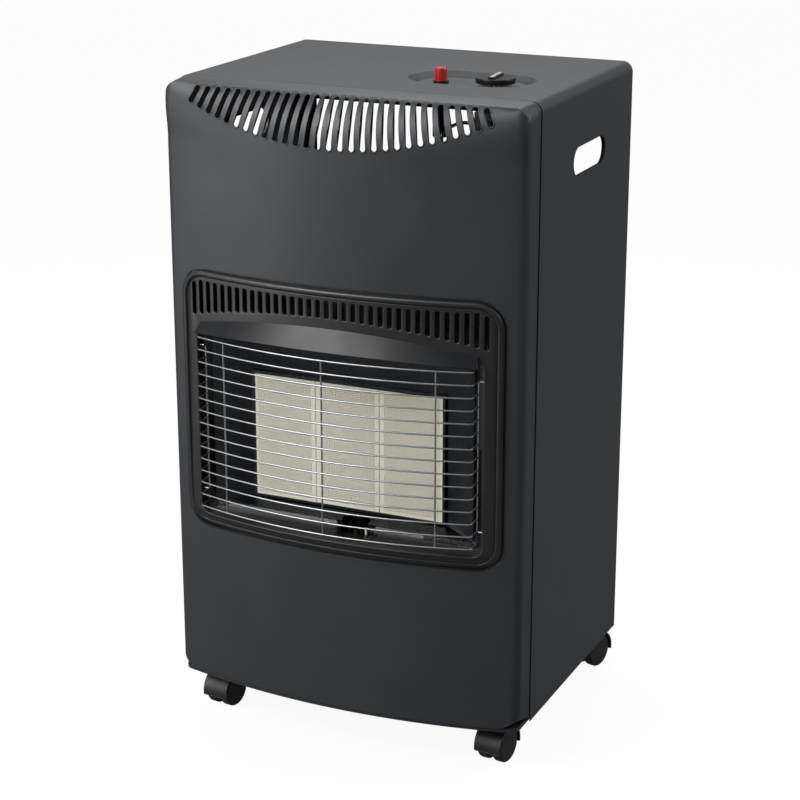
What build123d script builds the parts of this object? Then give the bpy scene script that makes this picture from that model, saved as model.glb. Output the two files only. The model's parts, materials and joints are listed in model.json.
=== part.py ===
from build123d import *
import os
from math import asin, cos, degrees, radians, sin, sqrt, tan

os.makedirs("parts", exist_ok=True)

# Portable gas cabinet heater. Millimetres: x across, y from front to back, z up.
floor_z = 2.0                   # where the floor stands while drawing; the whole is set on it at the end

# cabinet: a folded steel wrap (top, sides and rear flanges) closed by a pressed front fascia
cabinet_width = 420.0
cabinet_depth = 285.0           # wrap only, from the fascia seam to the back
cabinet_top = 745.0
cabinet_bottom = 58.0
sheet = 1.0
fold_radius = 12.0
back_y = 150.0                  # where the back stands while drawing; the whole is centred at the end
rear_rail_height = 70.0
rear_flange_width = 24.0

# carrying hole in each side
handle_length = 100.0
handle_height = 31.0
handle_y = 12.0
handle_z = 663.5
handle_rim_depth = 3.5

# dished control panel pressed into the top
dish_length = 144.0
dish_width = 90.0
dish_floor_margin = 9.0         # how far the sloping wall comes in
dish_depth = 7.0
dish_x = 91.0
dish_y = -33.0

# front fascia: a bowed pressing with rounded corners and a leaning brow
fascia_inset = 1.0              # its flanks stand this far inside the wrap's sides
fascia_bottom = 63.0
face_projection = 61.3          # crown of the bow, ahead of the seam
face_radius = 806.0
corner_radius = 12.0
seam_gap = 1.5
tongue_length = 12.0            # joggled edge that slides inside the wrap
tongue_clearance = 0.3
tongue_root = 5.0
brow_start = 689.0
brow_radius = 70.0
brow_end_bow = 0.8              # the brow is nearly straight across at its top
brow_sections = (0, 14, 26, 37, 46, 56)
top_shoulder = 5.0              # the brow rolls over into the top this far below it
top_slope = 3.7                 # degrees by which the fascia's top falls to the front
top_roll_radius = 11.0
bottom_corner_front = 53.0      # bottom corners, small at the seam and wider towards the crown of the face
bottom_corner_seam = 2.0
top_corner_front = 34.0
bottom_flange = 14.0

# fan-shaped row of outlet slots in the brow
fan_slots_each_side = 14
fan_slot_width = 6.0
fan_top_z = 741.0
fan_top_pitch = 10.9
fan_top_growth = 0.057
fan_bottom_pitch = 12.9
fan_bottom_growth = -0.045
fan_arc_radius = 442.0          # the slots' lower ends lie on this arc

# burner surround: bowed frame with its own row of slots
surround_half_width = 189.2
surround_bottom = 246.4
surround_top = 543.1
surround_corner = 30.0
surround_radius = 639.0
surround_crown_y = -205.0
surround_sheet = 1.2
surround_gap = 1.6              # black line between the surround and the fascia
surround_flange = 8.0
rim_width = 4.5
rim_rise = 1.3
lip_z = 263.0
lip_fall = 8.5                  # the lower band slopes back by this much
opening_half_width = 169.0
opening_top = 497.0
opening_corner = 12.0
ledge_y = -172.0
surround_slots_each_side = 17
surround_slot_pitch = 10.1
surround_slot_width = 4.7
surround_slot_top = 531.7
surround_slot_bottom = 512.6
surround_slot_arc = 750.0

# heat deflector over the opening
deflector_sheet = 1.2
deflector_half_width = 167.0
deflector_top_z = 501.9
deflector_top_drop = 0.00062    # how the edges fall towards the ends, per square millimetre
deflector_lip_z = 480.3
deflector_lip_drop = 0.0002
deflector_lip_y = -219.0
deflector_lip_radius = 540.0
deflector_tip = 15.0

# ceramic plaques and what frames them
plaque_count = 3
plaque_width = 76.5
plaque_height = 144.3
plaque_thickness = 12.0
plaque_bottom = 283.5
plaque_face_y = -156.5
plaque_joint = 0.3
frame_wall = 1.0
frame_lip = 2.0
frame_grip = 4.0
reflector_half_width = 156.0
reflector_bottom = 276.0
reflector_top = 486.0
reflector_sheet = 0.8

# burner, gas pipes and fittings
plenum_depth = 32.0
mixing_tube_radius = 11.0
mixing_throat_radius = 7.0
mixing_mouth_radius = 14.0
mixing_tube_length = 66.0
tube_wall = 1.2
manifold_radius = 7.0
manifold_drop = 15.0            # injector tips stand this far under the mixing tubes' mouths
injector_radius = 4.5
feed_pipe_radius = 4.0
pilot_pipe_radius = 2.0
pilot_x = 16.0
pilot_y = -165.0
pilot_z = 262.0
pilot_window_half = 18.0        # notch through the ledge in front of the pilot

# heat partition and base
partition_y = -60.0
partition_top = 640.0
partition_flange = 12.0
base_wall_height = 25.0
base_sheet = 1.2
fit = 0.3                       # clearance between nested sheets

# lift-off rear cover
cover_top = 590.0
cover_half_width = 197.0
cover_fold = 12.0
cover_tab_x = 120.0
cover_tab_width = 20.0
cover_screw_radius = 2.5
vent_count = 6
vent_length = 60.0
vent_width = 6.0
vent_pitch = 16.0

# control knob, spindle, valve and igniter
knob_x = 118.0
knob_radius = 21.5
knob_top = 748.5
knob_height = 6.0
knob_grip_width = 8.0
knob_grip_height = 2.5
knob_grip_turn = 95.0           # degrees at which the grip bar stands, with the knob shut
knob_travel = 3.5               # the knob is pushed in before it turns
spindle_radius = 4.0
running_fit = 0.05
valve_width = 36.0
valve_height = 30.0
valve_top = 712.0
bracket_z = 719.0
igniter_x = 55.0
igniter_radius = 9.0
button_radius = 6.5
button_top = 755.0
nozzle_length = 34.0

# wire guard
guard_wires = 15
guard_wire_radius = 0.95
guard_top = 471.5
guard_bottom = 276.5
guard_crown_y = -221.0
guard_radius = 526.0
guard_rear_y = -177.0
guard_upright_x = 124.7
guard_side_x = 161.7
guard_side_top = 457.0
guard_side_bottom = 290.0
guard_corner = 4.0

# twin-wheel casters: place of the stem and heading of the wheels, in degrees about the stem
caster_front_y = -104.0
caster_rear_y = 130.0
caster_x = 172.0
caster_trail = 24.0
wheel_radius = 20.0
wheel_width = 12.0
wheel_gap = 0.5
wheel_cap = 3.0                 # the closed outer side of a wheel, ahead of its blind bore
web_width = 6.0
hood_gap = 1.6
hood_wall = 2.5
hood_front_low = 10.0           # the hood reaches down to this height over the floor in front of the wheels
hood_rear_low = 16.0
neck_radius = 9.5
stem_radius = 5.5
socket_height = 22.0            # the stems run this far up inside the floor
axle_radius = 3.0
caster_headings = {"front_left": -7.0, "front_right": -7.6, "rear_left": 172.0, "rear_right": 165.0}

# values that follow from the ones above
half_width = cabinet_width / 2
seam_y = back_y - cabinet_depth
face_crown_y = seam_y - face_projection
fascia_half = half_width - fascia_inset
full_bow = face_radius - sqrt(face_radius**2 - fascia_half**2)
brow_joint = brow_start - 12.0
plaque_top = plaque_bottom + plaque_height
plaques_half = plaque_count * plaque_width / 2
plenum_front = plaque_face_y + plaque_thickness
plenum_back = plenum_front + plenum_depth
burner_y = (plenum_front + plenum_back) / 2
mixing_mouth_z = plaque_bottom - mixing_tube_length
manifold_z = mixing_mouth_z - manifold_drop - manifold_radius
dish_floor = cabinet_top - dish_depth
axle_z = floor_z + wheel_radius
valve_mid_z = valve_top - valve_height / 2
knob_bore_top = knob_top + 0.5
cover_screw_x = half_width - rear_flange_width / 2 - 4
cover_screw_z = cover_top - 14
cover_tab_z = cabinet_bottom + 12
facing_front = Rot(90, 0, 0)                        # turns a flat outline to be seen from the front
facing_side = Rot(0, 0, 90) * Rot(90, 0, 0)         # or from the side, drawn in y and z
parts = {}


def box(x0, x1, y0, y1, z0, z1):
    centre = Pos((x0 + x1) / 2, (y0 + y1) / 2, (z0 + z1) / 2)
    return centre * Box(x1 - x0, y1 - y0, z1 - z0)


def rod(start, end, radius):
    """Round bar between two points."""
    path = Vector(*end) - Vector(*start)
    return extrude(Plane(start, z_dir=path) * Circle(radius), path.length)


def panel(half, z0, z1, radius, y0, y1):
    """Rounded rectangle seen from the front, from y0 back to y1."""
    outline = RectangleRounded(2 * half, z1 - z0, radius)
    return extrude(Pos(0, y1, (z0 + z1) / 2) * facing_front * outline, y1 - y0)


def bow_y(x, crown, radius):
    return crown + radius - sqrt(radius**2 - x**2)


def bowed_face(half, crown, bow, back):
    """Plan outline: straight back and flanks, bowed front through the crown."""
    front = ThreePointArc((-half, crown + bow), (0, crown), (half, crown + bow))
    rest = Polyline((half, crown + bow), (half, back), (-half, back), (-half, crown + bow))
    return make_face(front + rest)


def bowed_slab(half, crown, radius, back, z0, z1):
    face = bowed_face(half, crown, bow_y(half, 0, radius), back)
    return extrude(Pos(0, 0, z0) * face, z1 - z0)


def yz_prism(outline, half):
    """Side profile, drawn in y and z, spread evenly to both sides of the middle."""
    return extrude(Pos(-half, 0, 0) * facing_side * outline, 2 * half)


def slot_cut(top, bottom, width, y0, y1):
    """Round-ended slot between two (x, z) points, cut straight back from y0 to y1."""
    run = Vector(top[0] - bottom[0], top[1] - bottom[1])
    middle = ((top[0] + bottom[0]) / 2, (top[1] + bottom[1]) / 2)
    outline = Rot(0, 0, run.get_angle(Vector(1, 0))) * SlotOverall(run.length, width)
    return extrude(Pos(middle[0], y1, middle[1]) * facing_front * outline, y1 - y0)


def sweep_rod(points, radii, radius):
    """Round bar along straight runs joined by tangent arcs."""
    path = FilletPolyline(*points, radius=radii)
    return sweep(Plane(path @ 0, z_dir=path % 0) * Circle(radius), path)


# cabinet wrap

def wrap_form(inset):
    """Rounded at the top corners, and long enough at the front to serve the tongue too."""
    outline = Pos(0, (cabinet_top + cabinet_bottom) / 2) * Rectangle(
        cabinet_width - 2 * inset, cabinet_top - cabinet_bottom - 2 * inset)
    outline = fillet(outline.vertices().sort_by(Axis.Y)[-2:], fold_radius - inset)
    return extrude(Pos(0, back_y - inset, 0) * facing_front * outline, cabinet_depth + 3 * tongue_length)


def dish_form(inset):
    """The pressed dish, narrowing from its mouth to its floor."""
    mouth = SlotOverall(dish_length - 2 * inset, dish_width - 2 * inset)
    floor_margin = 2 * (dish_floor_margin + inset)
    floor = SlotOverall(dish_length - floor_margin, dish_width - floor_margin)
    drop = dish_depth + sheet - inset
    form = loft([Pos(0, 0, cabinet_top) * mouth, Pos(0, 0, cabinet_top - drop) * floor], ruled=True)
    return Pos(dish_x, dish_y, 0) * form


def make_cabinet_wrap():
    wrap = wrap_form(0) & box(-half_width, half_width, seam_y, back_y, cabinet_bottom, cabinet_top)
    wrap = wrap - wrap_form(sheet) - box(
        -half_width, half_width, seam_y - 1, back_y - sheet, cabinet_bottom - 1, cabinet_bottom + sheet)
    opening_half = half_width - rear_flange_width
    wrap -= box(-opening_half, opening_half, back_y - 2 * sheet, back_y + 1,
                cabinet_bottom - 1, cabinet_top - rear_rail_height)
    hole = facing_side * SlotOverall(handle_length, handle_height)
    rim_outline = SlotOverall(handle_length + 2 * sheet, handle_height + 2 * sheet)
    rim_outline -= SlotOverall(handle_length, handle_height)
    rim = facing_side * rim_outline
    inner_wall = half_width - sheet
    for start in (inner_wall - handle_rim_depth, -inner_wall):
        wrap += extrude(Pos(start, handle_y, handle_z) * rim, handle_rim_depth)
    wrap -= extrude(Pos(-half_width - 1, handle_y, handle_z) * hole, cabinet_width + 2)
    wrap = wrap - dish_form(0) + (dish_form(0) - dish_form(sheet))
    wrap -= Pos(knob_x, dish_y, dish_floor) * Cylinder(spindle_radius + 1.5, 4 * sheet)
    wrap -= Pos(igniter_x, dish_y, dish_floor) * Cylinder(button_radius + 2, 4 * sheet)
    for side in (-1, 1):
        wrap -= rod((side * cover_screw_x, back_y - 3, cover_screw_z),
                    (side * cover_screw_x, back_y + 1, cover_screw_z), cover_screw_radius + 0.5)
    parts["cabinet_wrap"] = wrap


# front fascia

def brow_setback(z):
    rise = max(0, z - brow_start)
    return brow_radius - sqrt(brow_radius**2 - rise**2)


def brow_bow(z):
    share = max(0, z - brow_start) / (cabinet_top - brow_start)
    return full_bow * (1 - share**1.5) + brow_end_bow * share


def fascia_section(z, inset, back):
    crown = face_crown_y + brow_setback(z) + inset
    outline = bowed_face(fascia_half - inset, crown, brow_bow(z), back)
    return Pos(0, 0, z) * fillet(outline.vertices().sort_by(Axis.Y)[:2], corner_radius - inset)


def top_profile(inset):
    """Side profile that rolls the gently falling top over into the leaning brow."""
    touch_z = cabinet_top - top_shoulder
    lean = asin((touch_z - brow_start) / brow_radius)
    level = radians(90 - top_slope)
    touch = (face_crown_y + brow_setback(touch_z) + inset, touch_z - inset)
    along = (sin(lean), cos(lean))
    low = (touch[0] - 60 * along[0], touch[1] - 60 * along[1])
    roll_end = (touch[0] + top_roll_radius * (cos(lean) - cos(level)),
                touch[1] + top_roll_radius * (sin(level) - sin(lean)))
    seam_z = roll_end[1] + (seam_y - roll_end[0]) * tan(radians(top_slope))
    rest = Polyline(roll_end, (seam_y, seam_z), (seam_y + 60, seam_z), (seam_y + 60, 0),
                    (low[0] - 20, 0), (low[0] - 20, low[1]), low, touch)
    return make_face(TangentArc(touch, roll_end, tangent=along) + rest)


def corner_remainder(z, radius, side, up):
    """What a rounded corner leaves outside itself; up is 1 at the bottom and -1 at the top."""
    x = fascia_half + 0.05      # past the flank, so that the cut crosses it and never grazes it
    middle = (x - radius * (1 - sqrt(0.5)), z + up * radius * (1 - sqrt(0.5)))
    arc = ThreePointArc((x - radius, z), middle, (x, z + up * radius))
    rest = Polyline((x, z + up * radius), (x + 5, z + up * radius), (x + 5, z - up * 5),
                    (x - radius, z - up * 5), (x - radius, z))
    outline = make_face(arc + rest)
    return outline if side > 0 else mirror(outline, Plane.YZ)


def corner_cutters(inset):
    """Corners that grow from the seam towards the face; at the seam the top ones match the wrap's fold."""
    corners = ((fascia_bottom, 1, bottom_corner_front, bottom_corner_seam),
               (cabinet_top, -1, top_corner_front, fold_radius))
    cutters = []
    for side in (-1, 1):
        for z, up, front_radius, seam_radius in corners:
            large = corner_remainder(z, front_radius, side, up)
            small = corner_remainder(z, seam_radius, side, up)
            cutters.append(Pos(-side * inset, 0, up * inset) * loft(
                [Pos(0, face_crown_y - 20, 0) * facing_front * large,
                 Pos(0, seam_y, 0) * facing_front * small], ruled=True))
    return cutters


def fascia_form(inset, back):
    lower = extrude(fascia_section(brow_joint, inset, back), fascia_bottom + inset - brow_joint)
    heights = [brow_joint] + [brow_start + rise for rise in brow_sections]
    brow = loft([fascia_section(z, inset, back) for z in heights])
    form = (lower + brow) & yz_prism(top_profile(inset), cabinet_width)
    return form - corner_cutters(inset)


def fan_slots():
    """Slots that fan out from the middle, their lower ends on an arc."""
    slots = []
    for k in range(-fan_slots_each_side, fan_slots_each_side + 1):
        count, side = abs(k), (1 if k > 0 else -1)
        top_x = side * (fan_top_pitch * count + fan_top_growth * count**2)
        bottom_x = side * (fan_bottom_pitch * count + fan_bottom_growth * count**2)
        bottom_z = brow_start + fan_arc_radius - sqrt(fan_arc_radius**2 - bottom_x**2)
        slots.append(slot_cut((top_x, fan_top_z), (bottom_x, bottom_z), fan_slot_width,
                              face_crown_y - 10, seam_y - 15))
    return slots


def fascia_tongue(fascia_back):
    """Joggled edge: a thick root inside the fascia and a thin tongue inside the wrap."""
    inner = wrap_form(2 * sheet + tongue_clearance)
    low = cabinet_bottom + base_wall_height + 2
    root = (wrap_form(sheet + 0.15) - inner) & box(
        -half_width, half_width, fascia_back - tongue_root, fascia_back, low, cabinet_top)
    tongue = (wrap_form(sheet + tongue_clearance) - inner) & box(
        -half_width, half_width, fascia_back, fascia_back + tongue_length, low, cabinet_top)
    return root + tongue


def make_front_fascia():
    fascia_back = seam_y - seam_gap
    fascia = fascia_form(0, fascia_back) - fascia_form(sheet, fascia_back + 1)
    fascia += fascia_tongue(fascia_back)
    gap = surround_gap
    fascia -= panel(surround_half_width + gap, surround_bottom - gap, surround_top + gap,
                    surround_corner + gap, face_crown_y - 10, seam_y - 5)
    inside = bowed_face(fascia_half - bottom_flange, face_crown_y + bottom_flange, full_bow, back_y)
    fascia -= extrude(Pos(0, 0, fascia_bottom - 5) * inside, 10)
    for cutter in fan_slots():
        fascia -= cutter
    parts["front_fascia"] = fascia


# burner surround

def surround_profile(front):
    """Upright section through the middle: sloping lower band, lip and bowed field."""
    foot = (front + lip_fall, surround_bottom - 10)
    points = [foot, (front + lip_fall, surround_bottom), (front, lip_z), (front, surround_top + 10),
              (seam_y - 10, surround_top + 10), (seam_y - 10, surround_bottom - 10)]
    return make_face(Polyline(*points, foot))


def surround_form(inset, front):
    axis_y = surround_crown_y + surround_radius
    face = facing_side * surround_profile(front)
    spun = revolve(face, Axis((0, axis_y, 0), (0, 0, 1)), 40)
    spun = Pos(0, axis_y, 0) * Rot(0, 0, -20) * Pos(0, -axis_y, 0) * spun
    return spun & panel(surround_half_width - inset, surround_bottom + inset, surround_top - inset,
                        surround_corner - inset, face_crown_y - 40, seam_y - 15)


def surround_slots():
    slots = []
    for k in range(-surround_slots_each_side, surround_slots_each_side + 1):
        x = k * surround_slot_pitch
        low = surround_slot_bottom - surround_slot_arc + sqrt(surround_slot_arc**2 - x**2)
        slots.append(slot_cut((x, surround_slot_top), (x, low), surround_slot_width,
                              surround_crown_y - 10, surround_crown_y + 50))
    return slots


def fascia_backing(gap, thickness):
    """Bowed layer just behind the fascia's sheet, where the surround's flange bears."""
    front = face_crown_y + sheet + gap
    full = bowed_slab(half_width, front, face_radius, back_y, surround_bottom - 40, surround_top + 40)
    back = bowed_slab(half_width, front + thickness, face_radius, back_y + 1,
                      surround_bottom - 41, surround_top + 41)
    return full - back


def make_burner_surround():
    rim_front = surround_crown_y - rim_rise
    wall = surround_sheet
    body = surround_form(0, rim_front)
    field = panel(surround_half_width - rim_width, surround_bottom - 20, surround_top - rim_width,
                  surround_corner - rim_width, rim_front - 20, surround_crown_y + 30)
    body -= field - bowed_slab(half_width, surround_crown_y, surround_radius, back_y,
                               surround_bottom - 30, surround_top + 10)
    body -= surround_form(wall, surround_crown_y + wall)
    body -= bowed_slab(half_width, face_crown_y + sheet + fit + wall, face_radius, back_y,
                       surround_bottom - 20, surround_top + 20)
    opening = (opening_half_width, lip_z, opening_top, opening_corner)
    body -= panel(*opening, face_crown_y - 40, seam_y)
    walls = panel(*opening, surround_crown_y - 5, ledge_y)
    walls -= panel(opening_half_width - wall, lip_z + wall, opening_top - wall,
                   opening_corner - wall, surround_crown_y - 6, ledge_y - wall)
    walls -= panel(reflector_half_width, reflector_bottom, reflector_top, 4, ledge_y - 5, ledge_y + 1)
    walls &= bowed_slab(half_width, surround_crown_y, surround_radius, back_y, surround_bottom, surround_top)
    body += walls
    flange = panel(surround_half_width + surround_flange, surround_bottom - surround_flange,
                   surround_top + surround_flange, surround_corner + surround_flange, face_crown_y, seam_y)
    flange -= panel(surround_half_width - wall, surround_bottom + wall, surround_top - wall,
                    surround_corner - wall, face_crown_y - 1, seam_y + 1)
    body += flange & fascia_backing(fit, wall)
    for cutter in surround_slots():
        body -= cutter
    for z in (guard_side_top, guard_side_bottom):
        body -= rod((-opening_half_width - 3, guard_rear_y, z), (opening_half_width + 3, guard_rear_y, z),
                    guard_wire_radius + 0.4)
    body -= box(pilot_x - pilot_window_half, pilot_x + pilot_window_half, ledge_y - 10, ledge_y + 1,
                lip_z - 2, reflector_bottom + 4)
    parts["burner_surround"] = body


def deflector_section(x):
    top_y = bow_y(x, surround_crown_y, surround_radius) - 0.1
    top_z = deflector_top_z - deflector_top_drop * x**2
    lip_y = bow_y(x, deflector_lip_y, deflector_lip_radius)
    low_z = deflector_lip_z - deflector_lip_drop * x**2
    t = deflector_sheet
    points = [(top_y, top_z), (lip_y, low_z), (lip_y + t, low_z - t), (lip_y + 3 * t, low_z),
              (top_y, top_z - 2.2 * t)]
    face = make_face(Polyline(*points, points[0]))
    return Pos(x, 0, 0) * facing_side * face


def make_heat_deflector():
    reach = deflector_half_width
    stations = [reach * share for share in (-1, -0.7, -0.35, 0, 0.35, 0.7, 1)]
    deflector = loft([deflector_section(x) for x in stations])
    high, low = deflector_top_z + 10, deflector_lip_z - 5.5
    for side in (-1, 1):
        near, far = side * (reach - deflector_tip), side * (reach + 20)
        tip = Polyline((near, high), (far, high), (far, low), (side * reach, low), (near, high))
        deflector -= extrude(facing_front * make_face(tip), 300)
    parts["heat_deflector"] = deflector


def frustum(half0, z00, z01, y0, half1, z10, z11, y1):
    """Ruled form between two upright rectangles."""
    outer = Pos(0, y0, (z00 + z01) / 2) * facing_front * Rectangle(2 * half0, z01 - z00)
    inner = Pos(0, y1, (z10 + z11) / 2) * facing_front * Rectangle(2 * half1, z11 - z10)
    return loft([outer, inner], ruled=True)


def make_reflector():
    """Four sloping sheets from the ledge of the surround in to the plaques."""
    t = reflector_sheet
    gap = frame_wall + fit
    mouth = (reflector_half_width - fit, reflector_bottom + fit, reflector_top - fit)
    seat = (plaques_half + gap, plaque_bottom - gap, plaque_top + gap)
    front, back = ledge_y - surround_sheet, plaque_face_y + 2
    outer = frustum(*mouth, front, seat[0] + t, seat[1] - t, seat[2] + t, back)
    inner = frustum(mouth[0] - t, mouth[1] + t, mouth[2] - t, front - 0.01, *seat, back + 0.01)
    reflector = outer - inner
    reflector -= box(pilot_x - 16, pilot_x + 16, front - 5, back - 4, reflector_bottom - 5, plaque_bottom - 3)
    flange = panel(reflector_half_width + 8, reflector_bottom - 8, reflector_top + 8, 6, ledge_y, ledge_y + t)
    flange -= panel(reflector_half_width - fit - t, reflector_bottom + fit + t, reflector_top - fit - t, 2,
                    ledge_y - 1, ledge_y + 2 * t)
    flange -= box(pilot_x - 16, pilot_x + 16, ledge_y - 1, ledge_y + 2,
                  reflector_bottom - 10, plaque_bottom - 3)
    parts["reflector"] = reflector + flange


# ceramic burner

def make_plaques():
    for k, name in enumerate(("plaque_left", "plaque_centre", "plaque_right")):
        x0 = -plaques_half + k * plaque_width + plaque_joint / 2
        block = box(x0, x0 + plaque_width - plaque_joint, plaque_face_y, plenum_front,
                    plaque_bottom, plaque_top)
        front_edges = block.faces().sort_by(Axis.Y)[0].edges()
        parts[name] = chamfer(front_edges, 0.8)


def make_plaque_frame():
    """Picture-frame channel that grips the plaques and the plenum behind them."""
    wall = frame_wall
    outer = box(-plaques_half - wall, plaques_half + wall, plaque_face_y - wall, plenum_front + frame_grip,
                plaque_bottom - wall, plaque_top + wall)
    outer -= box(-plaques_half, plaques_half, plaque_face_y, plenum_back, plaque_bottom, plaque_top)
    lip = frame_lip
    outer -= box(-plaques_half + lip, plaques_half - lip, plaque_face_y - 5, plenum_back,
                 plaque_bottom + lip, plaque_top - lip)
    parts["plaque_frame"] = outer


def make_plenum():
    """Sheet box behind the plaques, one chamber for each plaque."""
    wall = tube_wall
    low, high = plaque_bottom + fit, plaque_top - fit
    half = plaques_half - fit
    plenum = box(-half, half, plenum_front, plenum_back, low, high)
    chamber = (2 * half - (plaque_count + 1) * wall) / plaque_count
    for k in range(plaque_count):
        x0 = -half + wall + k * (chamber + wall)
        plenum -= box(x0, x0 + chamber, plenum_front - 1, plenum_back - wall, low + wall, high - wall)
    for x in plaque_centres():
        plenum -= Pos(x, burner_y, low) * Cylinder(mixing_tube_radius, 4 * wall)
    parts["burner_plenum"] = plenum


def plaque_centres():
    return [(k - (plaque_count - 1) / 2) * plaque_width for k in range(plaque_count)]


def mixing_tube_profile(extra):
    """Half section of a mixing tube: flared mouth, throat, widening to the plenum."""
    top = plaque_bottom + fit + tube_wall
    throat_z = mixing_mouth_z + 16
    points = [(0, mixing_mouth_z), (mixing_mouth_radius + extra, mixing_mouth_z),
              (mixing_throat_radius + extra, throat_z), (mixing_throat_radius + extra, throat_z + 12),
              (mixing_tube_radius - tube_wall + extra, top), (0, top)]
    return facing_front * make_face(Polyline(*points, points[0]))


def make_mixing_tubes():
    tube = revolve(mixing_tube_profile(tube_wall - 0.02), Axis.Z) - revolve(mixing_tube_profile(0), Axis.Z)
    parts["mixing_tubes"] = Compound([Pos(x, burner_y, 0) * tube for x in plaque_centres()])


def make_manifold():
    end = plaque_centres()[-1] + 22
    outer = rod((-end, burner_y, manifold_z), (end, burner_y, manifold_z), manifold_radius)
    bore = rod((-end + 3, burner_y, manifold_z), (end - 3, burner_y, manifold_z), manifold_radius - 2)
    seat_top = manifold_z + manifold_radius + 3
    seats = [rod((x, burner_y, manifold_z), (x, burner_y, seat_top), injector_radius + 1.5)
             for x in plaque_centres()]
    manifold = outer + seats
    manifold -= bore
    rail_y = partition_y - partition_flange
    for x in (-end + 12, end - 12):
        manifold += box(x - 6, x + 6, burner_y, rail_y, manifold_z - 2, manifold_z + 2) - bore
        manifold += box(x - 6, x + 6, rail_y - 2, rail_y, manifold_z - 10, manifold_z + 10)
    parts["gas_manifold"] = manifold


def make_injectors():
    seat = manifold_z + manifold_radius + 3
    tips = []
    for x in plaque_centres():
        hexagon = extrude(Pos(x, burner_y, seat) * RegularPolygon(injector_radius, 6), 5)
        cone = Pos(x, burner_y, seat + 5 + 2.5) * Cone(3, 1.5, 5)
        tips.append(hexagon + cone - Pos(x, burner_y, seat + 5) * Cylinder(0.5, 12))
    parts["injectors"] = Compound(tips)


# gas control under the dish

def make_gas_valve():
    y = dish_y
    half = valve_width / 2
    body = box(knob_x - half, knob_x + half, y - 18, y + 18, valve_top - valve_height, valve_top)
    body = fillet(body.edges().filter_by(Axis.Z), 4)
    neck_top = bracket_z + 4
    body += rod((knob_x, y, valve_top), (knob_x, y, neck_top), spindle_radius + 4)
    body += rod((knob_x, y + 18, valve_mid_z), (knob_x, y + 26, valve_mid_z), 8)
    body += rod((knob_x, y - 18, valve_mid_z), (knob_x, y - 26, valve_mid_z), feed_pipe_radius + 3)
    body += rod((knob_x - half, y, valve_mid_z), (knob_x - half - 7, y, valve_mid_z), pilot_pipe_radius + 2.5)
    body -= rod((knob_x, y, valve_top - 16), (knob_x, y, neck_top + 1), spindle_radius + running_fit)
    body -= rod((knob_x, y + 16, valve_mid_z), (knob_x, y + 27, valve_mid_z), 5)
    body -= rod((knob_x, y - 20, valve_mid_z), (knob_x, y - 27, valve_mid_z), feed_pipe_radius)
    body -= rod((knob_x - half - 1, y, valve_mid_z), (knob_x - half - 8, y, valve_mid_z), pilot_pipe_radius)
    parts["gas_valve"] = body


def make_valve_bracket():
    """Channel hung under the dish that holds the valve's neck and the igniter."""
    half_y = 24
    x0, x1 = igniter_x - 20, knob_x + 26
    under = dish_floor - sheet
    bracket = box(x0, x1, dish_y - half_y, dish_y + half_y, bracket_z, bracket_z + 1.5)
    for x in (x0, x1 - 1.5):
        bracket += box(x, x + 1.5, dish_y - half_y, dish_y + half_y, bracket_z, under)
    bracket -= Pos(knob_x, dish_y, bracket_z) * Cylinder(spindle_radius + 4, 8)
    bracket -= Pos(igniter_x, dish_y, bracket_z) * Cylinder(igniter_radius, 8)
    parts["valve_bracket"] = bracket


def make_spindle():
    top = knob_bore_top - knob_travel - fit
    parts["valve_spindle"] = rod((knob_x, dish_y, valve_top - 12), (knob_x, dish_y, top), spindle_radius)


def make_knob():
    """Round knob with a diagonal grip bar, sliding on the spindle as it is pushed."""
    bottom = knob_top - knob_height
    knob = Pos(knob_x, dish_y, 0) * extrude(Pos(0, 0, bottom) * Circle(knob_radius), knob_height)
    knob = fillet(knob.edges().sort_by(Axis.Z)[-1], 1.5)
    bar = Rot(0, 0, knob_grip_turn) * SlotOverall(2 * knob_radius - 5, knob_grip_width)
    knob += extrude(Pos(knob_x, dish_y, knob_top - 1) * bar, knob_grip_height + 1)
    knob -= rod((knob_x, dish_y, bottom - 1), (knob_x, dish_y, knob_bore_top), spindle_radius + running_fit)
    parts["control_knob"] = knob


def make_igniter():
    under = dish_floor - sheet
    body = rod((igniter_x, dish_y, valve_top - 32), (igniter_x, dish_y, under), igniter_radius)
    collar = rod((igniter_x, dish_y, under - 1), (igniter_x, dish_y, dish_floor + 3), button_radius + 1.8)
    body += collar
    body += rod((igniter_x, dish_y, valve_top - 38), (igniter_x, dish_y, valve_top - 32), 3)
    body -= rod((igniter_x, dish_y, valve_top - 20), (igniter_x, dish_y, dish_floor + 4),
                button_radius + running_fit)
    parts["igniter_body"] = body
    button = rod((igniter_x, dish_y, valve_top - 10), (igniter_x, dish_y, button_top), button_radius)
    parts["ignition_button"] = fillet(button.edges().sort_by(Axis.Z)[-1], 2)


def make_hose_nozzle():
    """Brass nozzle for the gas hose, with barbs, on the back of the valve."""
    start = dish_y + 26
    steps = [(0, 0), (9, 0), (9, 6), (5, 6), (5, 12)]
    barbs = 3
    pitch = (nozzle_length - 12) / barbs
    for k in range(barbs):
        y = 12 + k * pitch
        steps += [(6.2, y), (4.8, y + pitch)]
    steps += [(0, nozzle_length)]
    outline = make_face(Polyline(*steps, steps[0]))
    nozzle = revolve(outline, Axis.Y) - rod((0, -1, 0), (0, nozzle_length + 1, 0), 3)
    parts["hose_nozzle"] = Pos(knob_x, start, valve_mid_z) * nozzle


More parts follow.
